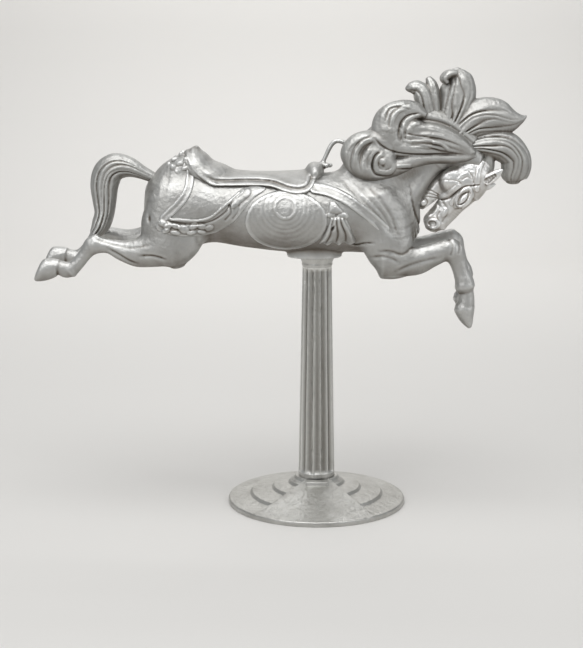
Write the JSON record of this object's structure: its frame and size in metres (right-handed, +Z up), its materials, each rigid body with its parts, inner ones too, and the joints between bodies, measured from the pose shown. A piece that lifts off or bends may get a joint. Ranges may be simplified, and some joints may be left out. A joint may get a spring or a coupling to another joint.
{
  "type": "carousel horse on a stand",
  "caption": "Cast metal carousel horse in a full leap, with saddle, straps and a wild carved mane, on a fluted pillar with a round stepped foot.",
  "frame": {"origin": "centre of the foot plate's underside, on the ground, on the pillar's axis", "axes": "+Z up along the pillar, +X towards the horse's head, -Y towards the horse's decorated right side"},
  "size_m": [1.4363, 0.528, 1.2857],
  "materials": {
    "cast_aluminium": "bright, half-polished casting",
    "stand_aluminium": "dull cast and brushed"
  },
  "bodies": {
    "root": {"horse": "cast_aluminium", "pillar": "stand_aluminium", "base": "stand_aluminium"}
  },
  "joints": []
}
